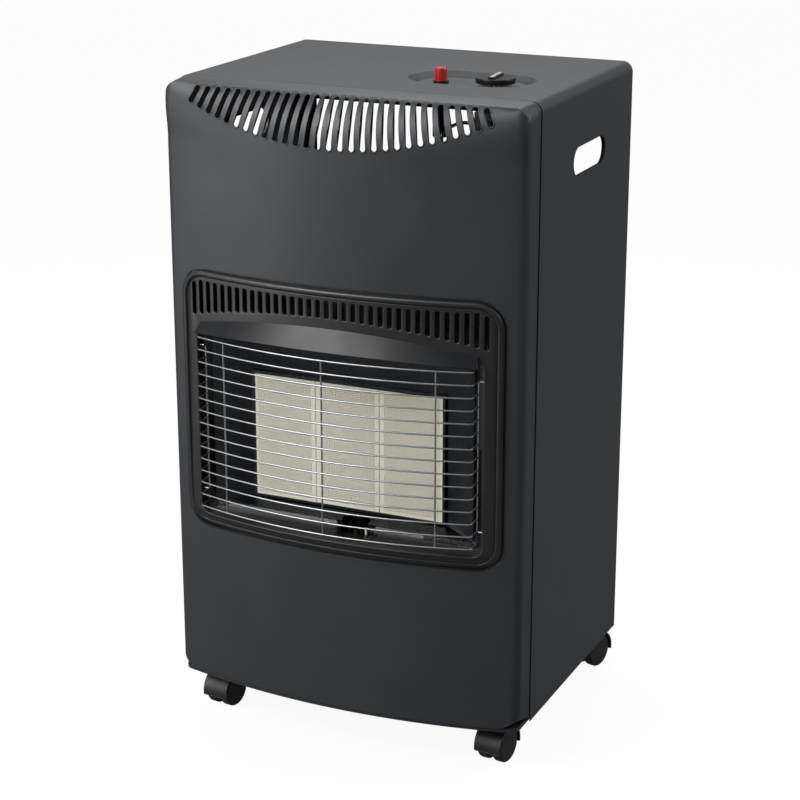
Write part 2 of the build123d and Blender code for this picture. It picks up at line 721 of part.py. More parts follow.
def make_pipes():
    run_x = plaques_half + 21
    run_y = partition_y - 26
    end_x = plaque_centres()[-1] + 22
    feed = [(end_x, burner_y, manifold_z), (run_x, burner_y, manifold_z), (run_x, run_y, manifold_z),
            (run_x, run_y, valve_mid_z), (knob_x, run_y, valve_mid_z), (knob_x, dish_y - 20.5, valve_mid_z)]
    parts["feed_pipe"] = sweep_rod(feed, [10, 10, 8, 8], feed_pipe_radius - 0.02)
    start_x = knob_x - valve_width / 2 - 1.5
    bend_x, low_z = start_x - 20, pilot_z - 22
    pilot = [(start_x, dish_y, valve_mid_z), (bend_x, dish_y, valve_mid_z), (bend_x, run_y, valve_mid_z),
             (bend_x, run_y, low_z), (pilot_x, run_y, low_z), (pilot_x, pilot_y, low_z),
             (pilot_x, pilot_y, pilot_z - 13)]
    parts["pilot_pipe"] = sweep_rod(pilot, [8, 8, 12, 12, 6], pilot_pipe_radius - 0.02)


def make_pilot():
    y = pilot_y
    burner = rod((pilot_x, y, pilot_z - 14), (pilot_x, y, pilot_z), 4)
    burner += rod((pilot_x, y, pilot_z - 1), (pilot_x, y, pilot_z + 3), 5.5)
    burner -= rod((pilot_x, y, pilot_z - 15), (pilot_x, y, pilot_z - 4), pilot_pipe_radius)
    burner -= rod((pilot_x, y, pilot_z - 5), (pilot_x, y, pilot_z + 4), 1.5)
    parts["pilot_burner"] = burner
    ear = pilot_window_half + 9
    bracket = box(pilot_x - ear, pilot_x + ear, ledge_y, y + 7, pilot_z - 9, pilot_z - 7.8)
    for side in (-1, 1):
        near, far = pilot_x + side * pilot_window_half, pilot_x + side * ear
        bracket += box(min(near, far), max(near, far), ledge_y, ledge_y + 1.2,
                       pilot_z - 9, reflector_bottom - 8.5)
    for x, radius in ((pilot_x, 4), (pilot_x - 10, 2.5), (pilot_x + 10, 1.5)):
        bracket -= rod((x, y, pilot_z - 10), (x, y, pilot_z - 7), radius)
    parts["pilot_bracket"] = bracket
    couple = rod((pilot_x - 10, y, pilot_z - 26), (pilot_x - 10, y, pilot_z - 4), 2.5)
    parts["thermocouple"] = couple + rod((pilot_x - 10, y, pilot_z - 4), (pilot_x - 10, y, pilot_z + 10), 1.6)
    electrode = rod((pilot_x + 10, y, pilot_z - 24), (pilot_x + 10, y, pilot_z - 9), 3)
    electrode += rod((pilot_x + 10, y, pilot_z - 9), (pilot_x + 10, y, pilot_z + 6), 1.5)
    parts["spark_electrode"] = electrode


# partition, base and rear cover

def make_partition():
    flange = partition_flange
    edge = half_width - sheet - fit
    low = cabinet_bottom + base_sheet
    partition = box(-edge, edge, partition_y - flange, partition_y, low, partition_top)
    partition -= box(-edge + sheet, edge - sheet, partition_y - flange - 1, partition_y - sheet,
                     low + sheet, partition_top - sheet)
    rail_y = partition_y - flange
    mount_z = (plaque_bottom + plaque_top) / 2
    partition += box(-edge + 30, edge - 30, rail_y, rail_y + sheet, low, low + 40)
    for z, half_height in ((mount_z, 12), (manifold_z, 14)):
        partition += box(-edge, edge, rail_y, rail_y + sheet, z - half_height, z + half_height)
    pan_inside = fascia_half - 2 * sheet - fit - base_sheet - fit
    for side in (-1, 1):
        near, far = side * pan_inside, side * half_width
        partition -= box(min(near, far), max(near, far), partition_y - flange - 1, partition_y + 1,
                         cabinet_bottom, cabinet_bottom + base_wall_height + fit)
    parts["heat_partition"] = partition


def make_plenum_mounts():
    """Two Z-shaped brackets that carry the burner from the partition's rail."""
    mount_z = (plaque_bottom + plaque_top) / 2
    rear = partition_y - partition_flange
    mounts = []
    for side in (-1, 1):
        x0, x1 = side * (plaques_half - 30), side * (plaques_half - 29)
        low, high = min(x0, x1), max(x0, x1)
        mount = box(low, high, plenum_back, rear, mount_z - 10, mount_z + 10)
        mount += box(low - 8, high + 8, plenum_back, plenum_back + 1.2, mount_z - 10, mount_z + 10)
        mount += box(low - 8, high + 8, rear - 1.2, rear, mount_z - 10, mount_z + 10)
        mounts.append(mount)
    parts["plenum_mounts"] = Compound(mounts)


def base_plan(inset):
    """Plan outline of the floor: the bowed front and the square back."""
    outline = bowed_face(fascia_half - inset, face_crown_y + inset, full_bow, back_y - inset)
    return fillet(outline.vertices().sort_by(Axis.Y)[:2], corner_radius - 2)


def make_base_pan():
    margin = sheet + fit + sheet
    outer = extrude(Pos(0, 0, cabinet_bottom) * base_plan(margin), base_wall_height)
    inner = extrude(Pos(0, 0, cabinet_bottom + base_sheet) * base_plan(margin + base_sheet), base_wall_height)
    pan = outer - inner
    pan -= fascia_foot()
    for x, y in stem_places().values():
        pan -= Pos(x, y, cabinet_bottom) * Cylinder(stem_radius + 2.5, 8)
    slot_half = cover_tab_width / 2 + 0.5
    for tab in (-cover_tab_x, cover_tab_x):
        pan -= box(tab - slot_half, tab + slot_half, back_y - 12, back_y + 1,
                   cover_tab_z - 1, cover_tab_z + 2)
    parts["base_pan"] = pan


def fascia_foot():
    """Room that the fascia's inward bottom flange takes at the front of the pan."""
    outline = bowed_face(fascia_half + 5, face_crown_y - 10, full_bow, seam_y)
    reach = bottom_flange + fit
    inside = bowed_face(fascia_half - reach, face_crown_y + reach, full_bow, seam_y + 1)
    return extrude(Pos(0, 0, fascia_bottom - fit) * (outline - inside), base_wall_height)


def make_rear_cover():
    """Flat cover with stiffening folds, low vents and two tabs that hook into the base."""
    low = cabinet_bottom + 4
    fold_half = half_width - rear_flange_width - 2
    cover = box(-cover_half_width, cover_half_width, back_y, back_y + sheet, low, cover_top)
    cover += box(-fold_half, fold_half, back_y - cover_fold, back_y, cover_top - sheet, cover_top)
    for side in (-1, 1):
        inner, outer = sorted((side * fold_half, side * (fold_half - sheet)))
        cover += box(inner, outer, back_y - cover_fold, back_y, low + 40, cover_top)
        tab = side * cover_tab_x
        cover += box(tab - cover_tab_width / 2, tab + cover_tab_width / 2, back_y - 8, back_y,
                     cover_tab_z, cover_tab_z + sheet)
        cover -= rod((side * cover_screw_x, back_y - 1, cover_screw_z),
                     (side * cover_screw_x, back_y + 2, cover_screw_z), cover_screw_radius)
    for row in range(vent_count):
        z = cabinet_bottom + 60 + row * vent_pitch
        for x in (-110, 0, 110):
            vent = SlotOverall(vent_length, vent_width)
            cover -= extrude(Pos(x, back_y + 2, z) * facing_front * vent, 4)
    parts["rear_cover"] = cover
    screws = []
    for side in (-1, 1):
        x, z = side * cover_screw_x, cover_screw_z
        screw = rod((x, back_y - 5, z), (x, back_y + sheet, z), cover_screw_radius - 0.02)
        screws.append(screw + rod((x, back_y + sheet, z), (x, back_y + 5, z), 6))
    parts["cover_screws"] = Compound(screws)


# wire guard

def guard_wire(z):
    """Bowed front wire whose ends turn back to the side wires."""
    r = guard_corner
    turn_x = guard_side_x - r
    half_turn = degrees(asin(turn_x / (guard_radius - r)))
    turn_y = bow_y(0, guard_crown_y, guard_radius) + guard_radius
    turn_y -= sqrt((guard_radius - r)**2 - turn_x**2)
    end_y = guard_rear_y - guard_wire_radius
    path = Wire([
        Edge.make_line((-guard_side_x, end_y, z), (-guard_side_x, turn_y, z)),
        CenterArc((-turn_x, turn_y, z), r, 180, 90 - half_turn).edge(),
        CenterArc((0, guard_crown_y + guard_radius, z), guard_radius, 270 - half_turn, 2 * half_turn).edge(),
        CenterArc((turn_x, turn_y, z), r, 270 + half_turn, 90 - half_turn).edge(),
        Edge.make_line((guard_side_x, turn_y, z), (guard_side_x, end_y, z))])
    start = Plane((-guard_side_x, end_y, z), z_dir=(0, -1, 0))
    return sweep(start * Circle(guard_wire_radius), path)


def make_guard():
    pitch = (guard_top - guard_bottom) / (guard_wires - 1)
    wires = [guard_wire(guard_bottom + k * pitch) for k in range(guard_wires)]
    for x in (-guard_upright_x, 0, guard_upright_x):
        y = bow_y(x, guard_crown_y, guard_radius) + 1.6 * guard_wire_radius
        wires.append(rod((x, y, guard_bottom), (x, y, guard_top), guard_wire_radius))
    parts["guard_front"] = wires[0].fuse(*wires[1:])
    sides = []
    for side in (-1, 1):
        inner = side * guard_side_x
        outer = side * (opening_half_width + 1.5)
        points = [(outer, guard_rear_y, guard_side_top), (inner, guard_rear_y, guard_side_top),
                  (inner, guard_rear_y, guard_side_bottom), (outer, guard_rear_y, guard_side_bottom)]
        sides.append(sweep_rod(points, 2.0, guard_wire_radius))
    parts["guard_sides"] = Compound(sides)


# casters

def stem_places():
    places = {}
    for name in caster_headings:
        x = caster_x if name.endswith("right") else -caster_x
        y = caster_front_y if name.startswith("front") else caster_rear_y
        places[name] = (x, y)
    return places


def across(radius, x0, x1):
    """Disc about the axle, between two places along it."""
    low, high = min(x0, x1), max(x0, x1)
    return rod((low, -caster_trail, axle_z), (high, -caster_trail, axle_z), radius)


def caster_hood():
    """Moulded body: hood over both wheels, web between them, neck up to the stem."""
    reach = web_width / 2 + wheel_gap + wheel_width + 1
    inner = wheel_radius + hood_gap
    outer = inner + hood_wall
    neck_top = cabinet_bottom - 3
    hood = across(outer, -reach, reach)
    hood += rod((0, 0, axle_z), (0, 0, neck_top), neck_radius)
    hood += box(-web_width / 2 - 3, web_width / 2 + 3, -caster_trail, 0, axle_z + 14, neck_top - 6)
    hood -= across(inner, -reach - 1, reach + 1)
    side = reach + 1
    hood -= box(-side, side, -caster_trail - outer - 1, -caster_trail, -outer, floor_z + hood_front_low)
    hood -= box(-side, side, -caster_trail, neck_radius + 1, -outer, floor_z + hood_rear_low)
    web = across(wheel_radius - 4, -web_width / 2, web_width / 2)
    spine = box(-web_width / 2, web_width / 2, -caster_trail, 0, axle_z - 2, axle_z + 20)
    hood = hood + web + (spine & across(outer, -web_width, web_width))
    hood -= across(axle_radius, -reach - 2, reach + 2)
    return hood - rod((0, 0, axle_z + 6), (0, 0, neck_top + 1), stem_radius)


def caster_wheel(side):
    """Plain moulded wheel, closed and well rounded on its outer side."""
    near = web_width / 2 + wheel_gap
    far = near + wheel_width
    wheel = across(wheel_radius, side * near, side * far)
    rims = wheel.edges().filter_by(GeomType.CIRCLE).sort_by(Axis.X, reverse=side < 0)
    wheel = fillet(rims[-1], 3)
    return wheel - across(axle_radius + running_fit, side * (near - 1), side * (far - wheel_cap))


def make_casters():
    hood = caster_hood()
    half_axle = web_width / 2 + wheel_gap + wheel_width - wheel_cap - fit
    axle = across(axle_radius, -half_axle, half_axle)
    stem_top = cabinet_bottom + socket_height - 2
    stem = rod((0, 0, axle_z + 6), (0, 0, stem_top), stem_radius)
    sockets = []
    for name, (x, y) in stem_places().items():
        place = Pos(x, y, 0) * Rot(0, 0, caster_headings[name])
        parts["caster_hood_" + name] = place * hood
        parts["caster_axle_" + name] = place * axle
        parts["caster_stem_" + name] = place * stem
        parts["wheel_" + name + "_a"] = place * caster_wheel(-1)
        parts["wheel_" + name + "_b"] = place * caster_wheel(1)
        low = cabinet_bottom - 1.5
        socket = rod((x, y, low), (x, y, cabinet_bottom + socket_height), stem_radius + 2.5)
        socket += rod((x, y, low), (x, y, cabinet_bottom), stem_radius + 8)
        sockets.append(socket - rod((x, y, low - 1), (x, y, stem_top + fit), stem_radius + running_fit))
    parts["caster_sockets"] = Compound(sockets)


def export_all():
    """Centre the whole over the origin, set it on the floor and write one file for each part."""
    whole = Compound(list(parts.values())).bounding_box()
    shift = Pos(-whole.center().X, -whole.center().Y, -floor_z)
    for name, shape in parts.items():
        export_step(shift * shape, "parts/" + name + ".step")
    print("size", whole.size, "shift", -whole.center().X, -whole.center().Y, "lowest", whole.min.Z)


make_cabinet_wrap()
make_front_fascia()
make_burner_surround()
make_heat_deflector()
make_reflector()
make_plaques()
make_plaque_frame()
make_plenum()
make_mixing_tubes()
make_manifold()
make_injectors()
make_gas_valve()
make_valve_bracket()
make_spindle()
make_knob()
make_igniter()
make_hose_nozzle()
make_pipes()
make_pilot()
make_partition()
make_plenum_mounts()
make_base_pan()
make_rear_cover()
make_guard()
make_casters()
export_all()
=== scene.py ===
import json
import math

import bmesh
import bpy
from mathutils import Matrix, Vector


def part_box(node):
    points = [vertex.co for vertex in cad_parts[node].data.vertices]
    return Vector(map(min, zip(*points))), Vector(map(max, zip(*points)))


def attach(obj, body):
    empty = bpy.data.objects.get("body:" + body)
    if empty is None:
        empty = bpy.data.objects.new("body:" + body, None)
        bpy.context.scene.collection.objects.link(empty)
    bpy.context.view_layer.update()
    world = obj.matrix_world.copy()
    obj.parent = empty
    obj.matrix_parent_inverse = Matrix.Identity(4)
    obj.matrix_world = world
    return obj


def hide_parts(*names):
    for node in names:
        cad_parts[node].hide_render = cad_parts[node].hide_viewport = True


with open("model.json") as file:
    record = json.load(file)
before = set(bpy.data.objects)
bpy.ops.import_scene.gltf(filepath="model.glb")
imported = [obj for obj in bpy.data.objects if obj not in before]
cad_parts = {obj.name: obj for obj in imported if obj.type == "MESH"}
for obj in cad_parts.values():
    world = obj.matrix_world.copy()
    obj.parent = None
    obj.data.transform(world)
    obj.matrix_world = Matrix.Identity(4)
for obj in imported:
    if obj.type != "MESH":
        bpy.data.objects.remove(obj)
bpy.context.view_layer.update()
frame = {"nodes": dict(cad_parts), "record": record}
nodes = frame["nodes"]
record = frame["record"]
slotOf = {part["node"]: part["material_slot"] for part in record["subparts"]}
bodyOf = {name: body for body, names in record["behaviour"]["bodies"].items() for name in names}
mm = 0.001


def linear(hexColour):
    channels = [int(hexColour[i:i + 2], 16) / 255 for i in (1, 3, 5)]
    return [c / 12.92 if c <= 0.04045 else ((c + 0.055) / 1.055) ** 2.4 for c in channels] + [1]


def addNode(tree, kind, settings=None, links=()):
    # settings: a property or an input and its value; links: an input and the output that feeds it
    node = tree.nodes.new("ShaderNode" + kind)
    for key, value in (settings or {}).items():
        if isinstance(key, str) and hasattr(node, key):
            setattr(node, key, value)
        else:
            node.inputs[key].default_value = value
    for key, source in links:
        tree.links.new(source, node.inputs[key])
    return node


def newFinish(name, colour, metallic, roughness):
    finish = bpy.data.materials.new(name)
    finish.use_nodes = True
    shader = finish.node_tree.nodes["Principled BSDF"]
    shader.inputs["Base Color"].default_value = linear(colour)
    shader.inputs["Metallic"].default_value = metallic
    shader.inputs["Roughness"].default_value = roughness
    return finish, finish.node_tree, shader


def addTexture(tree, shader, bumpSize, bumpDepth, driftSize, gloss, shades=None):
    # fine bump, a slow drift of the roughness between two values and, if given, of the colour
    place = addNode(tree, "TexCoord").outputs["Object"]
    fine = addNode(tree, "TexNoise", {"Scale": 1 / bumpSize, "Detail": 1.5}, [("Vector", place)])
    bump = addNode(tree, "Bump", {"Strength": 0.6, "Distance": bumpDepth}, [("Height", fine.outputs["Fac"])])
    tree.links.new(bump.outputs["Normal"], shader.inputs["Normal"])
    drift = addNode(tree, "TexNoise", {"Scale": 1 / driftSize, "Detail": 3.0}, [("Vector", place)])
    level = addNode(tree, "MapRange",
                    {"From Min": 0.3, "From Max": 0.7, "To Min": gloss[0], "To Max": gloss[1]},
                    [("Value", drift.outputs["Fac"])])
    tree.links.new(level.outputs["Result"], shader.inputs["Roughness"])
    if shades:
        blend = addNode(tree, "Mix", {"data_type": "RGBA", 6: linear(shades[0]), 7: linear(shades[1])},
                        [(0, drift.outputs["Fac"])])
        tree.links.new(blend.outputs[2], shader.inputs["Base Color"])


powderCoat = {"shades": ("#2b2e32", "#303338"), "gloss": (0.4, 0.47), "specular": 0.4,
              "peelSize": 1.6 * mm, "peelDepth": 0.012 * mm, "drift": 70 * mm}


def makePowderCoat():
    # powder-coated steel: satin charcoal whose faint orange peel softens every highlight
    finish, tree, shader = newFinish("charcoalPowderCoat", powderCoat["shades"][0], 0, powderCoat["gloss"][0])
    shader.inputs["Specular IOR Level"].default_value = powderCoat["specular"]
    addTexture(tree, shader, powderCoat["peelSize"], powderCoat["peelDepth"], powderCoat["drift"],
               powderCoat["gloss"], powderCoat["shades"])
    return finish


stoveEnamel = {"shades": ("#1b1c1e", "#202123"), "gloss": (0.34, 0.42), "peelSize": 2.2 * mm,
               "peelDepth": 0.008 * mm, "drift": 50 * mm}


def makeStoveEnamel():
    # stoved black enamel on pressed steel: satin, closer to gloss than the cabinet, so its bead shines softly
    finish, tree, shader = newFinish("stovedBlackEnamel", stoveEnamel["shades"][0], 0, stoveEnamel["gloss"][0])
    addTexture(tree, shader, stoveEnamel["peelSize"], stoveEnamel["peelDepth"], stoveEnamel["drift"],
               stoveEnamel["gloss"], stoveEnamel["shades"])
    return finish


glossEnamel = {"shades": ("#111214", "#15171a"), "gloss": (0.3, 0.38), "specular": 0.28, "waveSize": 14 * mm,
               "waveDepth": 0.02 * mm, "drift": 40 * mm}


def makeGlossEnamel():
    # vitreous black enamel, fired on: deep black, with soft reflections that waver a little
    finish, tree, shader = newFinish("vitreousBlackEnamel", glossEnamel["shades"][0], 0,
                                     glossEnamel["gloss"][0])
    shader.inputs["Specular IOR Level"].default_value = glossEnamel["specular"]
    addTexture(tree, shader, glossEnamel["waveSize"], glossEnamel["waveDepth"], glossEnamel["drift"],
               glossEnamel["gloss"], glossEnamel["shades"])
    return finish


heatSteel = {"shades": ("#34373c", "#45474b"), "gloss": (0.22, 0.32), "grain": 0.8 * mm,
             "grainDepth": 0.006 * mm, "drift": 35 * mm}


def makeHeatSteel():
    # aluminised steel gone dark with heat: a blue-grey sheen that still mirrors the wires
    finish, tree, shader = newFinish("heatDarkenedSteel", heatSteel["shades"][0], 1, heatSteel["gloss"][0])
    addTexture(tree, shader, heatSteel["grain"], heatSteel["grainDepth"], heatSteel["drift"],
               heatSteel["gloss"], heatSteel["shades"])
    return finish


galvanised = {"dark": "#83878a", "light": "#a7abae", "roughness": 0.42, "spangle": 9 * mm}


def makeGalvanised():
    # hot-dip galvanised sheet: grey zinc in crystals, each turned a little lighter or darker
    finish, tree, shader = newFinish("galvanisedSheet", galvanised["dark"], 1, galvanised["roughness"])
    place = addNode(tree, "TexCoord").outputs["Object"]
    crystals = addNode(tree, "TexVoronoi", {"Scale": 1 / galvanised["spangle"]}, [("Vector", place)])
    tone = addNode(tree, "RGBToBW", None, [("Color", crystals.outputs["Color"])])
    blend = addNode(tree, "Mix", {"data_type": "RGBA", 6: linear(galvanised["dark"]),
                                  7: linear(galvanised["light"])}, [(0, tone.outputs["Val"])])
    tree.links.new(blend.outputs[2], shader.inputs["Base Color"])
    return finish


ceramic = {"shades": ("#dfdbcb", "#e5e2d4"), "gloss": (0.8, 0.9), "grain": 0.5 * mm,
           "grainDepth": 0.03 * mm, "drift": 22 * mm}


def makeCeramic():
    # pressed infrared ceramic: matt cream, chalky, darker where it is pierced
    finish, tree, shader = newFinish("pressedCeramic", ceramic["shades"][0], 0, ceramic["gloss"][0])
    addTexture(tree, shader, ceramic["grain"], ceramic["grainDepth"], ceramic["drift"],
               ceramic["gloss"], ceramic["shades"])
    return finish


# smaller metals and plastics: name, colour pair, metallic, roughness pair, grain and its depth, drift
smallFinishes = {
    "zinc_steel": ("brightZincPlate", ("#a9adb1", "#bcc0c4"), 1, (0.24, 0.34), 0.6, 0.004, 8),
    # the brass tone is dark all over
    "brass_fitting": ("darkBrass", ("#4e4128", "#63522f"), 1, (0.34, 0.44), 0.4, 0.005, 10),
    "cast_alloy": ("dieCastAluminium", ("#9a9c9e", "#a9abad"), 1, (0.42, 0.52), 0.9, 0.02, 14),
    "alloy_pipe": ("drawnAluminium", ("#b4b7ba", "#c2c5c8"), 1, (0.26, 0.36), 0.7, 0.004, 12),
    "copper_probe": ("heatStainedCopper", ("#4b3226", "#6a4632"), 1, (0.34, 0.46), 0.5, 0.006, 6),
    "black_plastic": ("mouldedBlackAbs", ("#0f0f11", "#131315"), 0, (0.3, 0.38), 0.5, 0.006, 12),
    "red_plastic": ("mouldedRedAbs", ("#a3141c", "#ab161e"), 0, (0.3, 0.36), 0.5, 0.004, 8),
    "caster_plastic": ("mouldedBlackNylon", ("#18181a", "#1d1d1f"), 0, (0.42, 0.5), 0.7, 0.012, 12),
    "chrome_wire": ("brightChromePlate", ("#9a9c9f", "#a6a8ab"), 1, (0.28, 0.36), 0.8, 0.003, 15),
}
# the knob's plastic is grained, which takes most of its shine
dulled = {"black_plastic": 0.2}
finishes = {
    "charcoal_enamel": makePowderCoat(),
    "black_enamel": makeStoveEnamel(),
    "gloss_black_enamel": makeGlossEnamel(),
    "heat_steel": makeHeatSteel(),
    "galvanised_steel": makeGalvanised(),
    "plaque_ceramic": makeCeramic(),
}
for slot, (name, shades, metallic, gloss, grain, depth, drift) in smallFinishes.items():
    finish, tree, shader = newFinish(name, shades[0], metallic, gloss[0])
    addTexture(tree, shader, grain * mm, depth * mm, drift * mm, gloss, shades)
    finishes[slot] = finish
    if slot in dulled:
        shader.inputs["Specular IOR Level"].default_value = dulled[slot]
for nodeName, node in nodes.items():
    node.data.materials.clear()
    node.data.materials.append(finishes[slotOf[nodeName]])
print("finishes made:", len(finishes))


weld = {"reach": 0.002 * mm, "flatAngle": math.radians(0.2)}


def startFromNode(nodeName, flatten=True):
    # the node's skin is loose triangles: here they are welded and, if asked, flat areas made whole
    shape = bmesh.new()
    shape.from_mesh(nodes[nodeName].data)
    bmesh.ops.remove_doubles(shape, verts=shape.verts, dist=weld["reach"])
    if flatten:
        bmesh.ops.dissolve_limit(shape, angle_limit=weld["flatAngle"], verts=shape.verts, edges=shape.edges)
    return shape


def markEdges(shape, crease, weightOf):
    # edges that turn by more than the crease stay sharp, and are rounded by their weight
    weights = shape.edges.layers.float.new("bevel_weight_edge")
    for face in shape.faces:
        face.smooth = True
    for edge in shape.edges:
        if len(edge.link_faces) == 2 and edge.calc_face_angle() > math.radians(crease):
            edge.smooth = False
            edge[weights] = weightOf(edge)


def addPiece(name, shape, nodeName, rounding=0, segments=2, crease=32, weightOf=lambda edge: 1, slot=None):
    slot = slot or slotOf[nodeName]
    markEdges(shape, crease, weightOf)
    mesh = bpy.data.meshes.new(name)
    shape.to_mesh(mesh)
    shape.free()
    piece = bpy.data.objects.new(name, mesh)
    bpy.context.scene.collection.objects.link(piece)
    mesh.materials.append(finishes[slot])
    if rounding:
        rounded = piece.modifiers.new("roundedEdges", "BEVEL")
        rounded.width = rounding
        rounded.segments = segments
        rounded.limit_method = "WEIGHT"
        rounded.use_clamp_overlap = False
        rounded.harden_normals = True
    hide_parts(nodeName)
    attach(piece, bodyOf[nodeName])
    return piece


cabinetShell = {"foldedEdge": 0.3 * mm}
addPiece("foldedWrap", startFromNode("cabinet_wrap"), "cabinet_wrap", cabinetShell["foldedEdge"])
addPiece("pressedFascia", startFromNode("front_fascia", flatten=False), "front_fascia")

# pieces that are drawn here are drawn in millimetres, y counted from the cabinet's back and z from the floor
drawnBack = 150
drawnBase = 58
drawnToFrame = Matrix.Translation((0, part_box("cabinet_wrap")[1].y - drawnBack * mm,
                                   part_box("cabinet_wrap")[0].z - drawnBase * mm)) @ Matrix.Scale(mm, 4)


def bowY(x, crown, radius):
    return crown + radius - math.sqrt(radius ** 2 - x ** 2)


def nearestOnBox(halfWidth, low, high):
    return lambda place: Vector((min(max(place.x, -halfWidth), halfWidth), min(max(place.z, low), high)))


def nearestOnLine(start, end):
    start, end = Vector(start), Vector(end)

    def nearest(place):
        share = (Vector((place.x, place.z)) - start).dot(end - start) / (end - start).length_squared
        return start.lerp(end, min(max(share, 0), 1))
    return nearest


def growRings(shape, edges, nearest, steps):
    # extrudes a loop again and again: each step is a distance from the core and the depth there
    for reach, depthAt in steps:
        grown = bmesh.ops.extrude_edge_only(shape, edges=edges)["geom"]
        edges = [part for part in grown if isinstance(part, bmesh.types.BMEdge)]
        for corner in [part for part in grown if isinstance(part, bmesh.types.BMVert)]:
            core = nearest(corner.co)
            away = Vector((corner.co.x, corner.co.z)) - core
            flat = core + away.normalized() * reach
            corner.co = (flat.x, depthAt(flat.x, flat.y), flat.y)
    return edges


fanSlots = {"eachSide": 14, "width": 6.0, "topZ": 741.0, "topPitch": 10.9, "topGrowth": 0.057,
            "lowPitch": 12.9, "lowGrowth": -0.045, "arcRadius": 442.0, "arcBase": 689.0,
            "rimWidth": 1.7, "rimRise": 0.75, "wall": 1.0}
brow = {"crownY": -196.3, "start": 689.0, "top": 745.0, "radius": 70.0, "halfWidth": 209.0,
        "lowBow": 27.57, "highBow": 0.8, "shoulder": 740.0, "roll": 11.0}


def browY(x, z):
    # the fascia's face where it leans back: its bow flattens and its top rolls over
    rise = max(0, z - brow["start"])
    share = rise / (brow["top"] - brow["start"])
    bow = brow["lowBow"] * (1 - share ** 1.5) + brow["highBow"] * share
    radius = (brow["halfWidth"] ** 2 + bow ** 2) / (2 * bow)
    setback = brow["radius"] - math.sqrt(brow["radius"] ** 2 - rise ** 2)
    overRoll = max(0, z - brow["shoulder"]) ** 2 / (2 * brow["roll"])
    return bowY(x, brow["crownY"] + setback + overRoll, radius)


def fanSlotEnds(count):
    steps, side = abs(count), math.copysign(1, count)
    topX = side * (fanSlots["topPitch"] * steps + fanSlots["topGrowth"] * steps ** 2)
    lowX = side * (fanSlots["lowPitch"] * steps + fanSlots["lowGrowth"] * steps ** 2)
    lowZ = fanSlots["arcBase"] + fanSlots["arcRadius"] - math.sqrt(fanSlots["arcRadius"] ** 2 - lowX ** 2)
    low, top = Vector((lowX, lowZ)), Vector((topX, fanSlots["topZ"]))
    along = (top - low).normalized() * fanSlots["width"] / 2
    return low + along, top - along


def addSlotLoop(shape, low, top, reach, segments=24):
    # a circle parted in two halves, one at each end of the slot
    loop = bmesh.ops.create_circle(shape, segments=segments, radius=reach)["verts"]
    along = (top - low).normalized()
    for corner in loop:
        flat = Vector((corner.co.x, corner.co.y))
        end = top if flat.dot(along) > 0 else low
        corner.co = (flat.x + end.x, 0, flat.y + end.y)
    return [edge for edge in shape.edges if edge.verts[0] in loop and edge.verts[1] in loop]


def makeFanRims():
    # the sheet is drawn outwards and rolled over round each slot of the fan
    shape = bmesh.new()
    half = fanSlots["width"] / 2
    bulge = [math.radians(angle) for angle in (20, 50, 80, 110, 140, 165)]
    for count in range(-fanSlots["eachSide"], fanSlots["eachSide"] + 1):
        low, top = fanSlotEnds(count)
        first = addSlotLoop(shape, low, top, half + fanSlots["rimWidth"])
        for corner in {corner for edge in first for corner in edge.verts}:
            corner.co.y = browY(corner.co.x, corner.co.z) + 0.3
        steps = [(half + fanSlots["rimWidth"] * (1 + math.cos(angle)) / 2,
                  lambda x, z, angle=angle: browY(x, z) - fanSlots["rimRise"] * math.sin(angle))
                 for angle in bulge]
        steps.append((half - 0.05, lambda x, z: browY(x, z) + fanSlots["wall"] - 0.1))
        steps.append((half + 0.7, lambda x, z: browY(x, z) + fanSlots["wall"] / 2))
        last = growRings(shape, first, nearestOnLine(low, top), steps)
        bmesh.ops.bridge_loops(shape, edges=first + last)
    bmesh.ops.recalc_face_normals(shape, faces=shape.faces)
    bmesh.ops.transform(shape, matrix=drawnToFrame, verts=shape.verts)
    addPiece("fanSlotRims", shape, "front_fascia")


makeFanRims()
print("cabinet shell made")

surround = {"halfWidth": 189.2, "bottom": 246.4, "top": 543.1, "corner": 30.0, "crownY": -205.0,
            "bowRadius": 639.0, "sheet": 0.8, "beadWidth": 7.5, "beadRise": 2.2, "groove": 0.5,
            "fasciaBack": 1.3, "fasciaRadius": 806.0, "flange": 7.0, "lip": 263.0, "lowFall": 8.5,
            "openingHalf": 169.0, "openingTop": 482.0, "openingCorner": 12.0, "roll": 1.6,
            "ledgeY": -172.0, "mouthHalf": 156.0, "mouthLow": 276.0, "strip": 8.0, "slotsEachSide": 17,
            "slotPitch": 10.1, "slotWidth": 4.7, "slotTop": 531.7, "slotLow": 512.6, "slotArc": 750.0,
            "slotRoll": 1.0, "slotWall": 1.5, "slotMargin": 0.8, "pilotX": 16.0, "pilotHalf": 18.0,
            "stripOffset": 1.3, "bandStrips": (256.3, 258.3, 260.3, 262.3, 264.3, 266.3),
            "sideStrips": (300.3, 340.3, 380.3, 420.3, 460.3)}


def surroundY(x, z):
    # bowed field, whose lower band slopes back below the lip
    share = min(max((surround["lip"] + 3 - z) / (surround["lip"] + 3 - surround["bottom"]), 0), 1)
    return bowY(x, surround["crownY"], surround["bowRadius"]) + surround["lowFall"] * share ** 1.4


def beadRise(z):
    # the bead is full at the top and fades to a low edge round the sloping band
    return surround["beadRise"] * min(1, max(0.3, (z - surround["bottom"]) / 90))


def roundedOutline(halfWidth, low, high, corner, segments=10):
    middles = ((halfWidth - corner, high - corner, 0), (corner - halfWidth, high - corner, 90),
               (corner - halfWidth, low + corner, 180), (halfWidth - corner, low + corner, 270))
    return [(x + corner * math.cos(math.radians(start + 90 * k / segments)),
             z + corner * math.sin(math.radians(start + 90 * k / segments)))
            for x, z, start in middles for k in range(segments + 1)]


